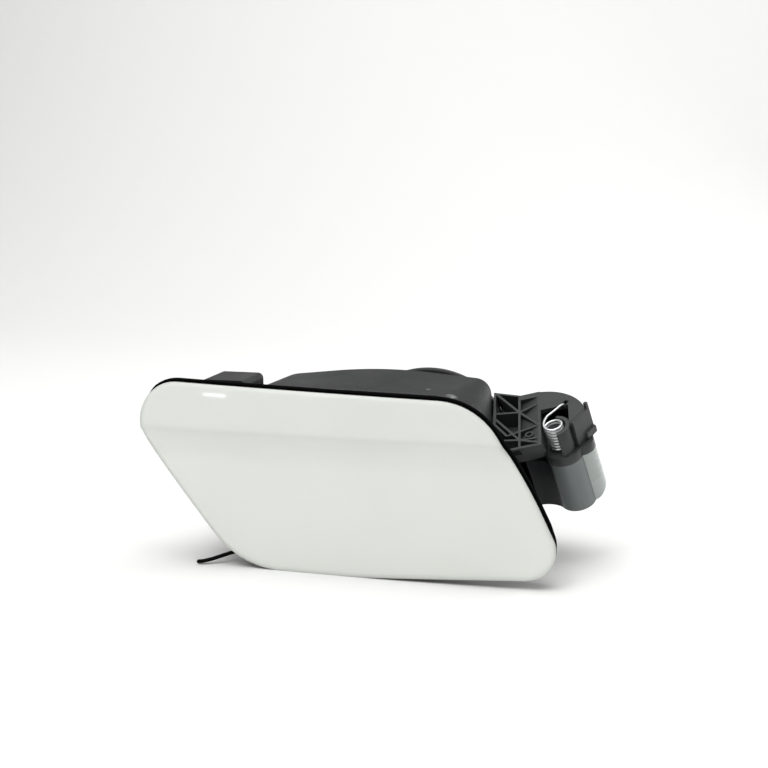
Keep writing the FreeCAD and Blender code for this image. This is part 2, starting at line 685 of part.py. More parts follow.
def make_spring():
    """Leg spring round the top of the pin, its upper leg hooked into the end plate.

    Each turn is a level half and a climbing half, which meet in one direction. The pitch is such
    that the flats of the wire meet there too.
    """
    low = -SEAT_DEPTH + SPRING_SEAT_GAP + SPRING_WIRE / 2
    climb = math.hypot(SPRING_RADIUS, SPRING_PITCH / 2)
    edges = []
    for turn in range(SPRING_TURNS):
        left = Vec(-SPRING_RADIUS, 0, low + turn * SPRING_PITCH)
        right = Vec(SPRING_RADIUS, 0, left.z)
        end = left + Vec(0, 0, SPRING_PITCH)
        edges.append(Part.Arc(left, Vec(0, SPRING_RADIUS, left.z), right).toShape())
        edges.append(Part.Arc(right, Vec(0, -climb, left.z + SPRING_PITCH / 2), end).toShape())
    corner = Vec(LEG_CORNER[0], LEG_CORNER[1], end.z)
    rise = Vec(-SPRING_RADIUS, LEG_CORNER[1] / 3, end.z)
    slot = Vec(SPRING_SLOT[0], SPRING_SLOT[1], end.z)
    tip = slot - Vec(0, 0, 2 * HOOK_RADIUS)
    edges += bent_line([end, rise, corner, slot, tip], [LEG_BEND_RADIUS, LEG_BEND_RADIUS, HOOK_RADIUS])
    pieces = []
    side = Vec(1, 0, 0)
    for edge in edges:
        level = edge.tangentAt(edge.FirstParameter).cross(Vec(0, 0, 1))
        if level.Length > 0.5:
            side = level.normalize()
        pieces.append(wire_piece(edge, side))
    return on_hinge(pieces[0].multiFuse(pieces[1:]))


def make_clip():
    """Retaining clip plate with ear and lower lip."""
    plate = Part.makeBox(CLIP_LENGTH, CLIP_THICKNESS, CLIP_HEIGHT, Vec(0, -CLIP_THICKNESS, -CLIP_HEIGHT))
    lip = Part.makeBox(CLIP_LENGTH * 0.55, CLIP_LIP, CLIP_LIP_HEIGHT,
                       Vec(CLIP_LENGTH * 0.45, -CLIP_THICKNESS - CLIP_LIP, -CLIP_HEIGHT))
    ear = Part.makeBox(CLIP_THICKNESS, CLIP_THICKNESS, CLIP_EAR,
                       Vec(CLIP_LENGTH - CLIP_THICKNESS, -CLIP_THICKNESS, 0))
    return on_hinge(clip_place(plate.multiFuse([lip, ear])))


def clip_place(shape):
    """Turn and move a shape drawn along the clip to its seat, in hinge axes."""
    shape.rotate(Vec(0, 0, 0), Vec(0, 0, 1), CLIP_ANGLE)
    shape.translate(Vec(TUBE_INNER + TUBE_WALL + 0.4, -1.4, 0.0))
    return shape


def clip_seat():
    """Room beside the half tube that the clip takes up, in hinge axes."""
    return clip_place(box(-12.0, 40.0, -40.0, 0.0, -CLIP_HEIGHT, CLIP_HEIGHT))


def collar_room():
    """Room round the rubber collar, in the part's frame."""
    start = Vec(NECK_X, BOWL_REAR_Y, NECK_Z)
    return Part.makeCylinder(COLLAR_RADIUS + COLLAR_ROOM, 2 * BOWL_REAR_Y, start, Vec(0, 1, 0))


def make_collar():
    """Rubber collar between bowl and filler neck."""
    y0 = BOWL_REAR_Y - BOWL_FLOOR
    y1 = BOWL_REAR_Y + COLLAR_GROOVE
    y2 = y1 + COLLAR_FLANGE
    y3 = y2 + SLEEVE_LENGTH
    plug = COLLAR_PLUG_RADIUS - COLLAR_FIT
    profile = [
        (NECK_BORE, y0), (plug, y0), (plug, BOWL_REAR_Y), (COLLAR_GROOVE_RADIUS, BOWL_REAR_Y),
        (COLLAR_GROOVE_RADIUS, y1), (COLLAR_RADIUS, y1), (COLLAR_RADIUS, y2),
        (NECK_BORE + SLEEVE_WALL, y2), (NECK_BORE + SLEEVE_WALL, y3), (NECK_BORE, y3),
    ]
    points = [Vec(NECK_X + r, y, NECK_Z) for r, y in profile]
    face = Part.Face(Part.makePolygon(points + [points[0]]))
    return face.revolve(Vec(NECK_X, 0, NECK_Z), Vec(0, 1, 0), 360)


def lock_axis():
    """X and Z of the lock bolt's axis."""
    return (LOCK_LEFT_X + LOCK_RIGHT_X) / 2, (LOCK_BOTTOM_Z + LOCK_TOP_Z) / 2


def tube_y(x, z, y_from, y_to, outer, inner):
    """Tube along Y."""
    start = Vec(x, y_from, z)
    body = Part.makeCylinder(outer, y_to - y_from, start, Vec(0, 1, 0))
    return body.cut(Part.makeCylinder(inner, y_to - y_from, start, Vec(0, 1, 0)))


def make_bush():
    """Guide bush of the lock bolt, in the back of the lock box."""
    x, z = lock_axis()
    sleeve = tube_y(x, z, LOCK_BACK_Y - LOCK_WALL, LOCK_BACK_Y + BUSH_LENGTH,
                    LOCK_BORE + BUSH_WALL, LOCK_BORE)
    flange = tube_y(x, z, LOCK_BACK_Y, LOCK_BACK_Y + BUSH_FLANGE, LOCK_BORE + 2 * BUSH_WALL, LOCK_BORE)
    return sleeve.fuse(flange)


def make_striker():
    """Hook on the flap that reaches into the lock box."""
    x = lock_axis()[0]
    half = STRIKER_THICKNESS / 2
    low = LOCK_TOP_Z - LOCK_WALL - STRIKER_GAP - STRIKER_HEIGHT
    blade = box(x - half, x + half, PANEL_THICKNESS, STRIKER_BACK_Y, low, low + STRIKER_HEIGHT)
    rib_side = -2 * RIB_SPACING - RIB_WIDTH / 2
    foot = box(x - 3 * half, rib_side, PANEL_THICKNESS, RIB_BACK_Y, low - half, low + STRIKER_HEIGHT + half)
    notch = box(x - 2 * half, x + 2 * half,
                STRIKER_BACK_Y - 3 * STRIKER_NOTCH, STRIKER_BACK_Y - STRIKER_NOTCH,
                low + STRIKER_HEIGHT - STRIKER_NOTCH, low + STRIKER_HEIGHT + 1.0)
    hook = blade.cut(notch).fuse(foot)
    return hook.cut(panel_slab(-60.0, PANEL_THICKNESS + WEB_THICKNESS))


def make_holder():
    """Open ring on the flap's back that holds the filler cap."""
    ring = tube_y(HOLDER_X, HOLDER_Z, RIB_BACK_Y, HOLDER_BACK_Y, HOLDER_RADIUS, HOLDER_RADIUS - HOLDER_WALL)
    return ring.cut(box(HOLDER_X - HOLDER_GAP / 2, HOLDER_X + HOLDER_GAP / 2, 0.0, 50.0, HOLDER_Z, 100.0))


def make_buffer():
    """Rubber stop on a rib of the flap, in front of the bowl's flange."""
    front, top = BOWL_FRONT_CORNERS[0], BOWL_FRONT_CORNERS[-1]
    x = -2 * RIB_SPACING
    share = (front[0] - FLANGE_WIDTH / 2 - x) / (front[0] - top[0])
    z = front[1] + share * (top[1] - front[1])
    length = BOWL_FRONT_Y - BUFFER_GAP - RIB_BACK_Y
    return Part.makeCylinder(BUFFER_RADIUS, length, Vec(x, RIB_BACK_Y, z), Vec(0, 1, 0))


def make_drain():
    """Drain stub in the bowl's rear wall."""
    back = BOWL_REAR_Y - BOWL_FLOOR
    stub = tube_y(DRAIN_X, DRAIN_Z, back, BOWL_REAR_Y + DRAIN_LENGTH, DRAIN_BORE + DRAIN_WALL, DRAIN_BORE)
    flange = tube_y(DRAIN_X, DRAIN_Z, BOWL_REAR_Y, BOWL_REAR_Y + DRAIN_FLANGE,
                    DRAIN_BORE + 2 * DRAIN_WALL, DRAIN_BORE)
    return stub.fuse(flange)


def export(name, shape):
    """Write one node, with the origin on the filler neck's axis."""
    placed = shape.copy()
    placed.translate(Vec(-NECK_X, -BOWL_REAR_Y, -NECK_Z))
    placed.exportStep(os.path.join("parts", name + ".step"))


def main():
    """Build and write every piece."""
    os.makedirs("parts", exist_ok=True)
    export("flap_outer_panel", make_panel())
    export("flap_carrier", make_carrier())
    export("flap_edge_seal", make_edge_seal())
    export("filler_bowl", make_bowl())
    export("hinge_housing", make_housing())
    export("hinge_cover", make_cover())
    export("hinge_pin", make_pin())
    export("hinge_spring", make_spring())
    export("retaining_clip", make_clip())
    export("neck_collar", make_collar())
    export("lock_bush", make_bush())
    export("flap_striker", make_striker())
    export("cap_holder", make_holder())
    export("flap_buffer", make_buffer())
    export("drain_stub", make_drain())


if __name__ == "__main__":
    main()
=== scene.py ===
"""Looks of a car's fuel filler flap with its bowl, sprung hinge pocket and rubber neck collar."""

import json
import logging
import math
from dataclasses import dataclass, field
from enum import Enum
from typing import Any, Union

import bpy
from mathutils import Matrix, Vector


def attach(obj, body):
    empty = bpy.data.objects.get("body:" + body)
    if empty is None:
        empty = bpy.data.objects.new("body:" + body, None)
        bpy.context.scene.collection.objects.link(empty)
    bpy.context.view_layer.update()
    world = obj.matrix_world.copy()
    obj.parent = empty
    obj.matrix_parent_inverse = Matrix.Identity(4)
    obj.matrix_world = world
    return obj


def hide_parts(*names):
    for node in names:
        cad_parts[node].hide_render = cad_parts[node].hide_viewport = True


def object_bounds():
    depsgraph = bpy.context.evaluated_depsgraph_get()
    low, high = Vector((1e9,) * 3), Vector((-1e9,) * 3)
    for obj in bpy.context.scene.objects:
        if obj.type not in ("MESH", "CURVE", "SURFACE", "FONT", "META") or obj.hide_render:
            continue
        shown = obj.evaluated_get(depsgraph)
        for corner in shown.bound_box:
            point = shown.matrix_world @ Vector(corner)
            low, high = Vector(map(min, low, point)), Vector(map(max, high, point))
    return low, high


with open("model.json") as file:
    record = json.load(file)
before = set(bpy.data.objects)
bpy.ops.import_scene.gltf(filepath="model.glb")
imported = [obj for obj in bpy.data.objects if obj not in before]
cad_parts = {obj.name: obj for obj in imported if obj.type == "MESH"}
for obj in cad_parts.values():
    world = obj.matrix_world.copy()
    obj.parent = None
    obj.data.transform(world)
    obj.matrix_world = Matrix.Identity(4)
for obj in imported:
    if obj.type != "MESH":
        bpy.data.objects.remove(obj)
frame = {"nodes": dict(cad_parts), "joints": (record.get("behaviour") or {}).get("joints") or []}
cad_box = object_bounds()

LOG = logging.getLogger("filler_flap")
MM = 1000.0  # millimetres in a metre
MIX_SHARE, MIX_FIRST, MIX_SECOND = 0, 6, 7  # inputs of a node that mixes colours
MIX_COLOUR = 2  # its colour output

Colour = tuple[float, float, float, float]
Place = tuple[float, float, float]
Span = tuple[float, float]
Inputs = dict[Union[str, int], Any]


def linear(code: str) -> Colour:
    """Turn an sRGB hex value into a linear colour, by the standard curve.

    Args:
        code: Six hex digits.

    Returns:
        Linear red, green, blue and an alpha of one.
    """
    shares = [int(code[i:i + 2], 16) / 255 for i in (0, 2, 4)]
    light = [c / 12.92 if c <= 0.04045 else ((c + 0.055) / 1.055) ** 2.4 for c in shares]
    return (light[0], light[1], light[2], 1.0)


def per_mm(size: float) -> float:
    """Scale of a pattern whose cells are this many millimetres wide."""
    return MM / size


def level(normal: Vector) -> Vector:
    """Direction in the flap's own plane in which a face looks."""
    return Vector((normal.x, 0.0, normal.z)).normalized()


def plug(tree: bpy.types.NodeTree, node: bpy.types.Node, inputs: Inputs) -> None:
    """Set or link inputs of a node.

    Args:
        tree: Node tree that holds the node.
        node: Node to set.
        inputs: Input by name or index, with a value or the output to link.
    """
    for name, value in inputs.items():
        if isinstance(value, bpy.types.NodeSocket):
            tree.links.new(value, node.inputs[name])
        else:
            node.inputs[name].default_value = value


def add_node(tree: bpy.types.NodeTree, kind: str, inputs: Inputs, **settings: Any) -> bpy.types.Node:
    """Add a node with its settings and its links.

    Args:
        tree: Node tree that gets the node.
        kind: Blender's name for the kind of node.
        inputs: Input by name or index, with a value or the output to link.
        settings: Properties of the node itself.

    Returns:
        The new node.
    """
    node = tree.nodes.new(kind)
    for name, value in settings.items():
        setattr(node, name, value)
    plug(tree, node, inputs)
    return node


def show(name: str, data: bpy.types.ID) -> bpy.types.Object:
    """Put a mesh, curve, light or camera into the scene.

    Args:
        name: Name of the object.
        data: What the object shows.

    Returns:
        The new object.
    """
    thing = bpy.data.objects.new(name, data)
    bpy.context.scene.collection.objects.link(thing)
    return thing


def start_wire(name: str, radius_mm: float, rounding: int) -> bpy.types.Curve:
    """Start a curve with a round section and closed ends.

    Args:
        name: Name of the curve.
        radius_mm: Radius of its section.
        rounding: Steps that round a quarter of the section.

    Returns:
        The curve, still without points.
    """
    curve = bpy.data.curves.new(name, "CURVE")
    curve.dimensions = "3D"
    curve.bevel_depth = radius_mm / MM
    curve.bevel_resolution = rounding
    curve.use_fill_caps = True
    return curve


@dataclass(frozen=True)
class Finish:
    """What every finish has: a name after its material and how its surface was made."""

    name: str

    def start(self) -> tuple[bpy.types.Material, bpy.types.NodeTree, bpy.types.Node,
                             bpy.types.NodeSocket]:
        """Make an empty material with its shader.

        Returns:
            The material, its node tree, its shader and the output with the place on the object.
        """
        material = bpy.data.materials.new(self.name)
        material.use_nodes = True
        tree = material.node_tree
        place = add_node(tree, "ShaderNodeTexCoord", {}).outputs["Object"]
        return material, tree, tree.nodes["Principled BSDF"], place

    def build(self) -> bpy.types.Material:
        """Make the material; each finish does it its own way."""
        raise NotImplementedError


@dataclass(frozen=True)
class SprayedPaint(Finish):
    """Acrylic base coat under a clear coat: even colour, sharp highlights, faint orange peel."""

    colour: str = "EAEDE7"
    shade: str = "E2E5DF"
    cloud_mm: float = 60.0
    cloud_detail: float = 2.0
    peel_mm: float = 1.6
    peel_detail: float = 1.0
    peel_depth_mm: float = 0.01
    peel_strength: float = 0.5
    crease_mm: float = 5.0
    crease_samples: int = 8
    roughness: Span = (0.30, 0.38)
    ior: float = 1.5
    coat: float = 1.0
    coat_roughness: float = 0.03

    def build(self) -> bpy.types.Material:
        """Make the paint, which rounds the pressed crease under it.

        Returns:
            The material.
        """
        material, tree, shader, place = self.start()
        cloud = add_node(tree, "ShaderNodeTexNoise", {
            "Vector": place, "Scale": per_mm(self.cloud_mm), "Detail": self.cloud_detail})
        tone = add_node(tree, "ShaderNodeMix", {
            MIX_SHARE: cloud.outputs["Fac"],
            MIX_FIRST: linear(self.shade), MIX_SECOND: linear(self.colour)}, data_type="RGBA")
        haze = add_node(tree, "ShaderNodeMapRange", {
            "Value": cloud.outputs["Fac"], "To Min": self.roughness[0], "To Max": self.roughness[1]})
        peel = add_node(tree, "ShaderNodeTexNoise", {
            "Vector": place, "Scale": per_mm(self.peel_mm), "Detail": self.peel_detail})
        soft = add_node(tree, "ShaderNodeBevel", {"Radius": self.crease_mm / MM},
                        samples=self.crease_samples)
        skin = add_node(tree, "ShaderNodeBump", {
            "Height": peel.outputs["Fac"], "Distance": self.peel_depth_mm / MM,
            "Strength": self.peel_strength, "Normal": soft.outputs[0]})
        plug(tree, shader, {
            "Base Color": tone.outputs[MIX_COLOUR], "Roughness": haze.outputs[0],
            "Normal": skin.outputs[0], "IOR": self.ior, "Coat Weight": self.coat,
            "Coat Roughness": self.coat_roughness, "Coat IOR": self.ior})
        return material


@dataclass(frozen=True)
class Scuff:
    """A pale scrape: where it is on the object and how far it reaches."""

    place_mm: Place
    reach_mm: float


@dataclass(frozen=True)
class MouldedPlastic(Finish):
    """Moulded thermoplastic: a fine eroded grain, soft gloss, and pale rubbed places.

    The real grain is finer than grain_mm; it is drawn this coarse so that it shows.
    """

    colour: str = "202122"
    rubbed: str = "3A3B3C"
    grain_mm: float = 0.7
    grain_depth_mm: float = 0.04
    grain_strength: float = 0.6
    cloud_mm: float = 24.0
    cloud_detail: float = 4.0
    cloud_roughness: float = 0.6
    cloud_span: Span = (0.3, 0.7)
    cloud_share: float = 0.22
    scuff_mm: float = 9.0
    scuff_detail: float = 8.0
    scuff_roughness: float = 0.75
    scuff_span: Span = (0.56, 0.72)
    scuff_share: float = 0.3
    roughness: float = 0.5
    roughness_swing: Span = (-0.06, 0.08)
    gloss: float = 0.5
    ior: float = 1.5
    scuffs: tuple[Scuff, ...] = ()
    scraped: str = "B4B6B5"
    speck_mm: float = 0.9
    speck_detail: float = 3.0
    speck_span: Span = (0.42, 0.62)

    def build(self) -> bpy.types.Material:
        """Make the plastic.

        Returns:
            The material.
        """
        material, tree, shader, place = self.start()
        cloud = add_node(tree, "ShaderNodeTexNoise", {
            "Vector": place, "Scale": per_mm(self.cloud_mm), "Detail": self.cloud_detail,
            "Roughness": self.cloud_roughness})
        tint = add_node(tree, "ShaderNodeMapRange", {
            "Value": cloud.outputs["Fac"], "From Min": self.cloud_span[0],
            "From Max": self.cloud_span[1], "To Max": self.cloud_share})
        scuff = add_node(tree, "ShaderNodeTexNoise", {
            "Vector": place, "Scale": per_mm(self.scuff_mm), "Detail": self.scuff_detail,
            "Roughness": self.scuff_roughness})
        worn = add_node(tree, "ShaderNodeMapRange", {
            "Value": scuff.outputs["Fac"], "From Min": self.scuff_span[0],
            "From Max": self.scuff_span[1], "To Max": self.scuff_share})
        both = add_node(tree, "ShaderNodeMath", {
            0: worn.outputs[0], 1: tint.outputs[0]}, operation="ADD", use_clamp=True)
        tone = add_node(tree, "ShaderNodeMix", {
            MIX_SHARE: both.outputs[0],
            MIX_FIRST: linear(self.colour), MIX_SECOND: linear(self.rubbed)}, data_type="RGBA")
        for mark in self.scuffs:
            tone = self.scrape(tree, place, tone, mark)
        rough = add_node(tree, "ShaderNodeMapRange", {
            "Value": cloud.outputs["Fac"], "From Min": self.cloud_span[0],
            "From Max": self.cloud_span[1], "To Min": self.roughness + self.roughness_swing[0],
            "To Max": self.roughness + self.roughness_swing[1]})
        grain = add_node(tree, "ShaderNodeTexVoronoi", {
            "Vector": place, "Scale": per_mm(self.grain_mm)}, feature="SMOOTH_F1")
        skin = add_node(tree, "ShaderNodeBump", {
            "Height": grain.outputs["Distance"], "Distance": self.grain_depth_mm / MM,
            "Strength": self.grain_strength})
        plug(tree, shader, {
            "Base Color": tone.outputs[MIX_COLOUR], "Roughness": rough.outputs[0],
            "Normal": skin.outputs[0], "IOR": self.ior, "Specular IOR Level": self.gloss})
        return material

    def scrape(self, tree: bpy.types.NodeTree, place: bpy.types.NodeSocket,
               tone: bpy.types.Node, mark: Scuff) -> bpy.types.Node:
        """Lay one speckled scrape over the colour.

        Args:
            tree: Node tree of the material.
            place: Output with the place on the object.
            tone: Node that gives the colour so far.
            mark: The scrape.

        Returns:
            Node that gives the colour with the scrape.
        """
        centre = tuple(size / MM for size in mark.place_mm)
        away = add_node(tree, "ShaderNodeVectorMath", {0: place, 1: centre}, operation="DISTANCE")
        near = add_node(tree, "ShaderNodeMapRange", {
            "Value": away.outputs["Value"], "From Max": mark.reach_mm / MM,
            "To Min": 1.0, "To Max": 0.0})
        speck = add_node(tree, "ShaderNodeTexNoise", {
            "Vector": place, "Scale": per_mm(self.speck_mm), "Detail": self.speck_detail})
        spots = add_node(tree, "ShaderNodeMapRange", {
            "Value": speck.outputs["Fac"], "From Min": self.speck_span[0],
            "From Max": self.speck_span[1]})
        share = add_node(tree, "ShaderNodeMath", {
            0: near.outputs[0], 1: spots.outputs[0]}, operation="MULTIPLY")
        return add_node(tree, "ShaderNodeMix", {
            MIX_SHARE: share.outputs[0],
            MIX_FIRST: tone.outputs[MIX_COLOUR], MIX_SECOND: linear(self.scraped)}, data_type="RGBA")


@dataclass(frozen=True)
class MouldedRubber(Finish):
    """Moulded EPDM rubber: dull, nearly black, with a greyish bloom.

    The real pores are finer than pore_mm; they are drawn this coarse so that they show.
    """

    colour: str = "131314"
    bloom: str = "2A2B2C"
    bloom_mm: float = 7.0
    bloom_detail: float = 6.0
    bloom_roughness: float = 0.65
    pore_mm: float = 0.5
    pore_detail: float = 2.0
    pore_depth_mm: float = 0.05
    pore_strength: float = 0.5
    roughness: Span = (0.62, 0.85)
    ior: float = 1.52

    def build(self) -> bpy.types.Material:
        """Make the rubber.

        Returns:
            The material.
        """
        material, tree, shader, place = self.start()
        bloom = add_node(tree, "ShaderNodeTexNoise", {
            "Vector": place, "Scale": per_mm(self.bloom_mm), "Detail": self.bloom_detail,
            "Roughness": self.bloom_roughness})
        tone = add_node(tree, "ShaderNodeMix", {
            MIX_SHARE: bloom.outputs["Fac"],
            MIX_FIRST: linear(self.colour), MIX_SECOND: linear(self.bloom)}, data_type="RGBA")
        rough = add_node(tree, "ShaderNodeMapRange", {
            "Value": bloom.outputs["Fac"], "To Min": self.roughness[0], "To Max": self.roughness[1]})
        pores = add_node(tree, "ShaderNodeTexNoise", {
            "Vector": place, "Scale": per_mm(self.pore_mm), "Detail": self.pore_detail})
        skin = add_node(tree, "ShaderNodeBump", {
            "Height": pores.outputs["Fac"], "Distance": self.pore_depth_mm / MM,
            "Strength": self.pore_strength})
        plug(tree, shader, {
            "Base Color": tone.outputs[MIX_COLOUR], "Roughness": rough.outputs[0],
            "Normal": skin.outputs[0], "IOR": self.ior})
        return material


@dataclass(frozen=True)
class DrawnSteel(Finish):
    """Drawn steel wire or bar, plated or phosphated: metallic, with fine draw lines.

    The real draw lines are finer than line_mm; they are drawn this coarse so that they show.
    """

    colour: str = "F4F5F5"
    dull: str = "C6C8C9"
    patch_mm: float = 2.5
    patch_detail: float = 5.0
    patch_roughness: float = 0.6
    line_mm: float = 0.3
    line_detail: float = 1.0
    line_depth_mm: float = 0.01
    line_strength: float = 0.3
    roughness: float = 0.38
    roughness_swing: Span = (-0.08, 0.16)

    def build(self) -> bpy.types.Material:
        """Make the steel.

        Returns:
            The material.
        """
        material, tree, shader, place = self.start()
        patch = add_node(tree, "ShaderNodeTexNoise", {
            "Vector": place, "Scale": per_mm(self.patch_mm), "Detail": self.patch_detail,
            "Roughness": self.patch_roughness})
        tone = add_node(tree, "ShaderNodeMix", {
            MIX_SHARE: patch.outputs["Fac"],
            MIX_FIRST: linear(self.colour), MIX_SECOND: linear(self.dull)}, data_type="RGBA")
        rough = add_node(tree, "ShaderNodeMapRange", {
            "Value": patch.outputs["Fac"], "To Min": self.roughness + self.roughness_swing[0],
            "To Max": self.roughness + self.roughness_swing[1]})
        lines = add_node(tree, "ShaderNodeTexNoise", {
            "Vector": place, "Scale": per_mm(self.line_mm), "Detail": self.line_detail})
        skin = add_node(tree, "ShaderNodeBump", {
            "Height": lines.outputs["Fac"], "Distance": self.line_depth_mm / MM,
            "Strength": self.line_strength})
        plug(tree, shader, {
            "Base Color": tone.outputs[MIX_COLOUR], "Roughness": rough.outputs[0],
            "Normal": skin.outputs[0], "Metallic": 1.0})
        return material


@dataclass(frozen=True)
class BackdropPaper(Finish):
    """Uncoated paper from the roll: pale, matt, with a faint felt grain."""

    tone: str = "E6E6E5"
    grain_mm: float = 3.0
    grain_depth_mm: float = 0.02
    roughness: float = 0.8

    def build(self) -> bpy.types.Material:
        """Make the paper.

        Returns:
            The material.
        """
        material, tree, shader, place = self.start()
        grain = add_node(tree, "ShaderNodeTexNoise", {
            "Vector": place, "Scale": per_mm(self.grain_mm)})
        skin = add_node(tree, "ShaderNodeBump", {
            "Height": grain.outputs["Fac"], "Distance": self.grain_depth_mm / MM})
        plug(tree, shader, {
            "Base Color": linear(self.tone), "Roughness": self.roughness, "Normal": skin.outputs[0]})
        return material


class Finishes(Enum):
    """The finishes on this object and under it."""

    # Outer skin: a clean white with a trace of green, and small hard highlights.
    BODY_PAINT = SprayedPaint("acrylic_paint_sprayed")
    # Carrier behind the skin: black, half matt.
    BLACK_CARRIER = MouldedPlastic(
        "polypropylene_black_moulded", "151617", "2B2C2D",
        scuff_share=0.1, roughness=0.5, gloss=0.35)
    # Edge seal and flap rim: the deepest black, almost without gloss.
    BLACK_BAND = MouldedPlastic(
        "pvc_black_extruded", "050505", "0B0B0C",
        scuff_share=0.05, roughness=0.75, gloss=0.04)
    # Bowl: dark grey, dull, with two pale scrapes on its top wall.
    GREY_BOWL = MouldedPlastic(
        "polyamide_grey_moulded", "1B1C1D", "424445",
        scuff_share=0.3, roughness=0.55, gloss=0.18,
        scuffs=(Scuff((6.3, -30.3, 42.0), 1.6), Scuff((19.6, -37.5, 40.6), 3.6)))
    # Hinge pocket and clip: a greyer black, because glass fibres lie at the surface.
    HINGE_POCKET = MouldedPlastic(
        "polyamide_glass_filled_moulded", "2B2D2D", "515453",
        scuff_share=0.2, roughness=0.5, gloss=0.4)
    # Front wall of the hinge cover: painted shade, a bluish-black copy of the cover's plastic that
    # darkens its recessed front wall.
    WALL_PAINTED_SHADE = MouldedPlastic(
        "polyamide_painted_shade", "17191D", "2C2F34",
        scuff_share=0.15, roughness=0.45)
    # Hinge tube: mid grey and smooth, with a soft sheen.
    HINGE_COVER = MouldedPlastic(
        "acetal_grey_moulded", "666D6D", "828786",
        scuff_share=0.05, roughness=0.34)
    # Side shell of the hinge cover: painted light, a paler and smoother copy of the cover's plastic
    # where light from the right falls on it.
    SHELL_PAINTED_LIGHT = MouldedPlastic(
        "acetal_painted_light", "A6ACAA", "B4B9B7",
        scuff_share=0.05, roughness=0.28, gloss=0.5)
    # Collar, drain and buffer: dull black with a grey bloom.
    RUBBER = MouldedRubber("epdm_rubber_moulded")
    # Leg spring: bright and slightly clouded.
    SPRING = DrawnSteel("spring_steel_zinc_plated")
    # Hinge pin: dark grey metal.
    PIN = DrawnSteel("steel_bar_phosphated", "3C3D40", "242527", roughness=0.4)
    # Floor: even and pale.
    BACKDROP = BackdropPaper("backdrop_paper")


class Dresser:
    """Gives finishes to pieces and keeps one material for each finish."""

    def __init__(self) -> None:
        """Start with no material made."""
        self.made: dict[Finishes, bpy.types.Material] = {}

    def dress(self, piece: bpy.types.Object, finish: Finishes) -> None:
        """Give a piece its finish.

        Args:
            piece: Object to dress.
            finish: Finish that it gets.
        """
        piece.data.materials.clear()
        self.add(piece, finish)

    def add(self, piece: bpy.types.Object, finish: Finishes) -> int:
        """Add a finish to a piece and report it.

        Args:
            piece: Object that gets the finish.
            finish: Finish to add.

        Returns:
            Index by which faces of the piece take the finish.
        """
        if finish not in self.made:
            self.made[finish] = finish.value.build()
        piece.data.materials.append(self.made[finish])
        LOG.info("%s: %s", piece.name, finish.value.name)
        return len(piece.data.materials) - 1


@dataclass
class SubAssembly:
    """Pieces of one sub-assembly, with their finishes and the softened edges of the mouldings."""

    finishes: dict[str, Finishes]
    edges_mm: dict[str, float] = field(default_factory=dict)
    weld_mm: float = 0.005
    flat_deg: float = 0.1
    edge_deg: float = 40.0
    edge_segments: int = 2

    def build(self, dresser: Dresser) -> None:
        """Dress each piece and soften its edges.

        Args:
            dresser: Keeper of the materials.
        """
        for name, finish in self.finishes.items():
            piece = frame["nodes"][name]
            dresser.dress(piece, finish)
            if name in self.edges_mm:
                self.soften(piece, self.edges_mm[name])

    def soften(self, piece: bpy.types.Object, width_mm: float) -> None:
        """Round the edges of a moulding as its tool leaves them.

        Args:
            piece: Moulding with sharp edges.
            width_mm: Width of the rounding.
        """
        weld = piece.modifiers.new("weld", "WELD")
        weld.merge_threshold = self.weld_mm / MM
        flat = piece.modifiers.new("flat", "DECIMATE")
        flat.decimate_type = "DISSOLVE"
        flat.angle_limit = math.radians(self.flat_deg)
        edge = piece.modifiers.new("edge", "BEVEL")
        edge.width = width_mm / MM
        edge.segments = self.edge_segments
        edge.limit_method = "ANGLE"
        edge.angle_limit = math.radians(self.edge_deg)
        edge.harden_normals = True


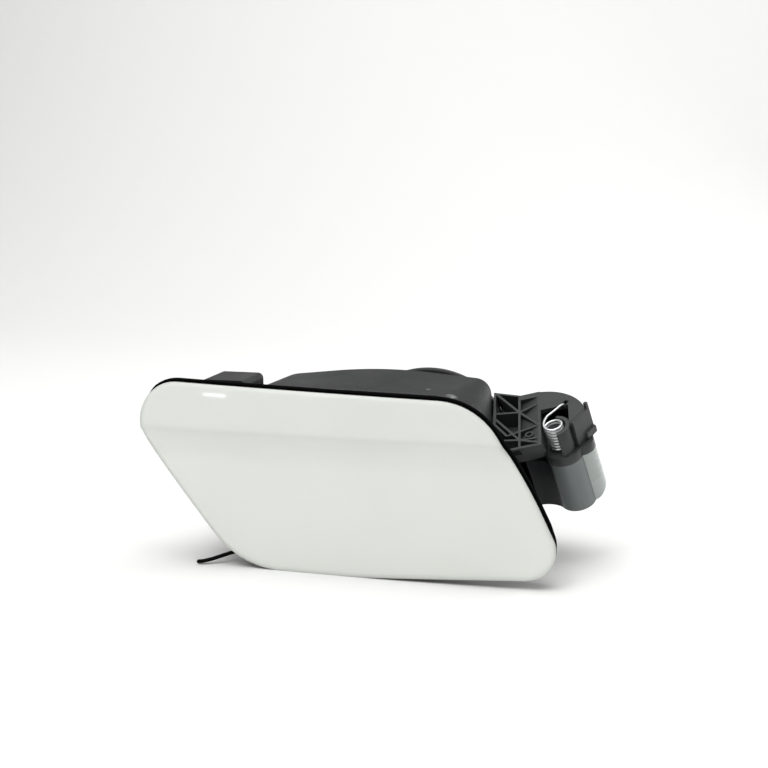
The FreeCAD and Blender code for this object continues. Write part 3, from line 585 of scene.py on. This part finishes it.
@dataclass
class Flap(SubAssembly):
    """Painted skin on its black carrier, with seal, striker, cap holder and buffer."""

    finishes: dict[str, Finishes] = field(default_factory=lambda: {
        "flap_outer_panel": Finishes.BODY_PAINT,
        "flap_carrier": Finishes.BLACK_CARRIER,
        "flap_edge_seal": Finishes.BLACK_BAND,
        "flap_striker": Finishes.BLACK_CARRIER,
        "cap_holder": Finishes.BLACK_CARRIER,
        "flap_buffer": Finishes.RUBBER,
    })
    edges_mm: dict[str, float] = field(default_factory=lambda: {
        "flap_carrier": 0.3, "flap_striker": 0.3, "cap_holder": 0.3})
    face_slant: float = 0.5
    rim_mm: float = 1.6
    outline_steps: int = 72
    place_digits: int = 5
    lip_radius_mm: float = 1.1
    lip_rounding: int = 3
    lip_proud_mm: float = 0.45
    lip_back_mm: float = 0.9
    lip_from_deg: float = -19.0
    lip_to_deg: float = 166.5
    lip_taper_deg: float = 8.0

    def build(self, dresser: Dresser) -> None:
        """Dress the flap, mask its black edge and lay the seal's lip.

        Args:
            dresser: Keeper of the materials.
        """
        super().build(dresser)
        for name in ("flap_outer_panel", "flap_carrier"):
            piece = frame["nodes"][name]
            band = dresser.add(piece, Finishes.BLACK_BAND)
            for face in self.side_faces(piece):
                face.material_index = band
        self.lay_lip(dresser)

    def outline(self) -> list[Vector]:
        """Find the points of the panel that lie farthest out, all around it.

        Returns:
            One point for each direction across the flap.
        """
        points = [vertex.co for vertex in frame["nodes"]["flap_outer_panel"].data.vertices]
        turns = [2 * math.pi * step / self.outline_steps for step in range(self.outline_steps)]
        ways = [Vector((math.cos(turn), 0.0, math.sin(turn))) for turn in turns]
        return [max(points, key=way.dot) for way in ways]

    def side_faces(self, piece: bpy.types.Object) -> list[bpy.types.MeshPolygon]:
        """Find the faces at the rim of the flap that look outward.

        Args:
            piece: The panel or the carrier.

        Returns:
            Its side faces near the panel's outline.
        """
        rim = self.outline()
        sides = []
        for face in piece.data.polygons:
            if abs(face.normal.y) > self.face_slant:
                continue
            way = level(face.normal)
            inward = max(way.dot(point) for point in rim) - way.dot(face.center)
            if abs(inward) < self.rim_mm / MM:
                sides.append(face)
        return sides

    def rounded(self, point: Vector) -> tuple[float, ...]:
        """Place of a point, rounded so that corners of different faces can be told to be one."""
        return tuple(round(size, self.place_digits) for size in point)

    def back_edge(self) -> list[tuple[Vector, Vector]]:
        """Find the panel's back edge.

        Returns:
            Each point of the edge, with the direction in which the side looks there.
        """
        panel = frame["nodes"]["flap_outer_panel"]
        corners = panel.data.vertices
        behind = {self.rounded(corners[index].co) for face in panel.data.polygons
                  if face.normal.y > self.face_slant for index in face.vertices}
        edge: dict[tuple[float, ...], tuple[Vector, Vector]] = {}
        for face in self.side_faces(panel):
            for index in face.vertices:
                point = corners[index].co
                if self.rounded(point) in behind:
                    edge[self.rounded(point)] = (point.copy(), level(face.normal))
        return list(edge.values())

    def lay_lip(self, dresser: Dresser) -> None:
        """Lay the seal's round lip behind the panel's edge, from the right over the top to the left.

        Args:
            dresser: Keeper of the materials.
        """
        edge = self.back_edge()
        middle = sum((point for point, _ in edge), Vector()) / len(edge)
        back = Vector((0.0, self.lip_back_mm / MM, 0.0))
        knots: list[tuple[float, float, Vector]] = []
        for point, way in edge:
            angle = math.degrees(math.atan2(point.z - middle.z, point.x - middle.x))
            to_end = min(angle - self.lip_from_deg, self.lip_to_deg - angle)
            if to_end > 0.0:
                full = min(1.0, to_end / self.lip_taper_deg)
                proud_mm = self.lip_proud_mm * full + self.lip_radius_mm * (full - 1.0)
                knots.append((angle, full, point + way * proud_mm / MM + back))
        knots.sort(key=lambda knot: knot[0])
        curve = start_wire("seal_lip", self.lip_radius_mm, self.lip_rounding)
        spline = curve.splines.new("POLY")
        spline.points.add(len(knots) - 1)
        for knot, (_, full, place) in zip(spline.points, knots):
            knot.co = (*place, 1.0)
            knot.radius = full
        lip = show("seal_lip", curve)
        dresser.dress(lip, Finishes.BLACK_BAND)
        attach(lip, "flap")


@dataclass
class Bowl(SubAssembly):
    """Moulded bowl with the lock bush, the drain and the collar to the filler neck."""

    finishes: dict[str, Finishes] = field(default_factory=lambda: {
        "filler_bowl": Finishes.GREY_BOWL,
        "neck_collar": Finishes.RUBBER,
        "lock_bush": Finishes.GREY_BOWL,
        "drain_stub": Finishes.RUBBER,
    })
    edges_mm: dict[str, float] = field(default_factory=lambda: {
        "lock_bush": 0.3, "neck_collar": 1.0})


@dataclass(frozen=True)
class HingeAxes:
    """Directions across and along the hinge: u to the right, v to the back, w up the axis."""

    origin: Vector
    u: Vector
    v: Vector
    w: Vector

    @classmethod
    def of_joint(cls, name: str) -> "HingeAxes":
        """Find the axes of a hinge in the record.

        Args:
            name: Name of the joint.

        Returns:
            Its axes, with u level along the width of the object.
        """
        joint = next(j for j in frame["joints"] if j["name"] == name)
        w = Vector(joint["axis"]).normalized()
        u = Vector((w.z, 0.0, -w.x)).normalized()
        return cls(Vector(joint["pos_m"]), u, w.cross(u), w)

    def point(self, u_mm: float, v_mm: float, w_mm: float) -> Vector:
        """Point of the frame for a place given in hinge axes, in millimetres."""
        return self.origin + (self.u * u_mm + self.v * v_mm + self.w * w_mm) / MM

    def across(self, place: Vector) -> Span:
        """How far a point lies to the right of the hinge and behind it, in millimetres."""
        return (place - self.origin).dot(self.u) * MM, (place - self.origin).dot(self.v) * MM


@dataclass
class Hinge(SubAssembly):
    """Hinge pocket with its rib lattice, cover, clip, pin and leg spring."""

    finishes: dict[str, Finishes] = field(default_factory=lambda: {
        "hinge_housing": Finishes.HINGE_POCKET,
        "hinge_cover": Finishes.HINGE_COVER,
        "retaining_clip": Finishes.HINGE_POCKET,
        "hinge_pin": Finishes.PIN,
    })
    edges_mm: dict[str, float] = field(default_factory=lambda: {
        "hinge_housing": 0.25, "retaining_clip": 0.3})
    wall_right_mm: float = -6.5
    wall_back_mm: float = 12.0
    shell_left_mm: float = 10.3
    coil_radius_mm: float = 4.4
    wire_mm: float = 1.2
    wire_rounding: int = 4
    turns: int = 8
    pitch_mm: float = 1.7504
    seat_mm: float = 13.7
    points_per_turn: int = 12
    leg_mm: tuple[Place, ...] = (
        (-4.35, 2.4, 0.3), (-3.6, 5.2, 0.3), (-2.3, 7.7, 0.3), (-0.2, 9.6, 0.3), (2.8, 12.5, 0.3),
        (5.0, 14.5, 0.3), (5.9, 15.3, -0.2), (6.2, 15.6, -1.6), (6.2, 15.6, -2.6))

    def build(self, dresser: Dresser) -> None:
        """Dress the pocket and wind the spring.

        Args:
            dresser: Keeper of the materials.
        """
        super().build(dresser)
        axes = HingeAxes.of_joint("flap_hinge")
        self.part_cover(dresser, axes)
        self.wind_spring(dresser, axes)

    def part_cover(self, dresser: Dresser, axes: HingeAxes) -> None:
        """Paint shade on the cover's recessed front wall and light on its side shell, as darker and
        paler copies of its plastic.

        Args:
            dresser: Keeper of the materials.
            axes: Axes of the hinge.
        """
        cover = frame["nodes"]["hinge_cover"]
        wall = dresser.add(cover, Finishes.WALL_PAINTED_SHADE)
        shell = dresser.add(cover, Finishes.SHELL_PAINTED_LIGHT)
        for face in cover.data.polygons:
            right, back = axes.across(face.center)
            # painted shade: faces of the recessed front wall take a darker copy of the cover's
            # plastic
            if right < self.wall_right_mm and back < self.wall_back_mm:
                face.material_index = wall
            # painted light: faces of the side shell take a paler copy of the cover's plastic
            elif right > self.shell_left_mm:
                face.material_index = shell

    def wind_spring(self, dresser: Dresser, axes: HingeAxes) -> None:
        """Wind the leg spring from round wire.

        Args:
            dresser: Keeper of the materials.
            axes: Axes of the hinge.
        """
        places: list[Place] = []
        for step in range(self.turns * self.points_per_turn + 1):
            turn = step / self.points_per_turn
            angle = math.pi * (1 - 2 * turn)
            places.append((self.coil_radius_mm * math.cos(angle),
                           self.coil_radius_mm * math.sin(angle),
                           turn * self.pitch_mm - self.seat_mm))
        places.extend(self.leg_mm)
        curve = start_wire("leg_spring", self.wire_mm / 2, self.wire_rounding)
        spline = curve.splines.new("BEZIER")
        spline.bezier_points.add(len(places) - 1)
        for knot, place in zip(spline.bezier_points, places):
            knot.co = axes.point(*place)
            knot.handle_left_type = "AUTO"
            knot.handle_right_type = "AUTO"
        spring = show("leg_spring", curve)
        dresser.dress(spring, Finishes.SPRING)
        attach(spring, "housing")
        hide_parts("hinge_spring")


@dataclass
class Lamp:
    """One soft box of the studio, square unless it has a height; sizes in metres, power in watts."""

    name: str
    place: Place
    size: float
    power: float
    height: float = 0.0
    target: Place = (0.0, 0.0, 0.0)


@dataclass
class Studio:
    """Pale floor that curves up behind, soft light and the camera at the photograph's angle."""

    eye: Vector = field(default_factory=lambda: Vector((0.109028, -0.555226, 0.141010)))
    target: Vector = field(default_factory=lambda: Vector((-0.009385, -0.062, 0.049743)))
    lens_mm: float = 50.0
    sensor_mm: float = 36.0
    nearest: float = 0.01
    floor_half: float = 9.0
    cove_start: float = 0.7
    cove_radius: float = 0.8
    cove_height: float = 2.6
    cove_steps: int = 16
    sky_tone: str = "FFFFFF"
    sky_strength: float = 0.45
    lamps: tuple[Lamp, ...] = (
        Lamp("top", (-0.2, -0.35, 1.5), 1.0, 5.0),
        Lamp("key", (-0.45, -0.8, 1.2), 0.5, 5.0),
        Lamp("right", (0.8, 0.63, 0.2), 0.6, 6.5),
        Lamp("backdrop", (0.0, 0.1, 1.9), 1.6, 24.0, target=(0.0, 1.3, 0.4)),
        Lamp("window", (-0.723, -1.312, 0.071), 0.06, 0.01, 0.004, target=(-0.1, -0.0586, 0.04)),
    )

    def build(self, dresser: Dresser) -> None:
        """Make the floor, the lights and the camera.

        Args:
            dresser: Keeper of the materials.
        """
        self.lay_floor(dresser)
        self.light()
        self.aim_camera()

    def lay_floor(self, dresser: Dresser) -> None:
        """Lay the floor under the object's lowest point and curve it up behind.

        Args:
            dresser: Keeper of the materials.
        """
        low = cad_box[0].z
        half = self.floor_half
        line = [(-half, low), (self.cove_start, low)]
        for step in range(1, self.cove_steps + 1):
            turn = math.pi / 2 * step / self.cove_steps
            line.append((self.cove_start + self.cove_radius * math.sin(turn),
                         low + self.cove_radius * (1 - math.cos(turn))))
        line.append((self.cove_start + self.cove_radius, low + self.cove_height))
        points = [(x, y, z) for y, z in line for x in (-half, half)]
        faces = [(2 * i, 2 * i + 1, 2 * i + 3, 2 * i + 2) for i in range(len(line) - 1)]
        mesh = bpy.data.meshes.new("floor")
        mesh.from_pydata(points, [], faces)
        for face in mesh.polygons:
            face.use_smooth = True
        floor = show("floor", mesh)
        dresser.dress(floor, Finishes.BACKDROP)

    def light(self) -> None:
        """Hang the soft boxes and light the surroundings evenly."""
        world = bpy.data.worlds.new("studio")
        world.use_nodes = True
        plug(world.node_tree, world.node_tree.nodes["Background"], {
            "Color": linear(self.sky_tone), "Strength": self.sky_strength})
        bpy.context.scene.world = world
        for lamp in self.lamps:
            data = bpy.data.lights.new(lamp.name, "AREA")
            data.size = lamp.size
            data.energy = lamp.power
            if lamp.height:
                data.shape = "RECTANGLE"
                data.size_y = lamp.height
            box = show(lamp.name, data)
            box.location = lamp.place
            aim = Vector(lamp.target) - Vector(lamp.place)
            box.rotation_euler = aim.to_track_quat("-Z", "Y").to_euler()

    def aim_camera(self) -> None:
        """Set the camera where the photograph was taken from."""
        data = bpy.data.cameras.new("camera")
        data.lens = self.lens_mm
        data.sensor_width = self.sensor_mm
        data.clip_start = self.nearest
        camera = show("camera", data)
        camera.location = self.eye
        camera.rotation_euler = (self.target - self.eye).to_track_quat("-Z", "Y").to_euler()
        bpy.context.scene.camera = camera
        bpy.context.scene.view_settings.view_transform = "Standard"


def main() -> None:
    """Build the studio and dress the sub-assemblies in order."""
    logging.basicConfig(level=logging.INFO, format="%(name)s: %(message)s")
    dresser = Dresser()
    for part in (Studio(), Flap(), Bowl(), Hinge()):
        part.build(dresser)


if __name__ == "__main__":
    main()
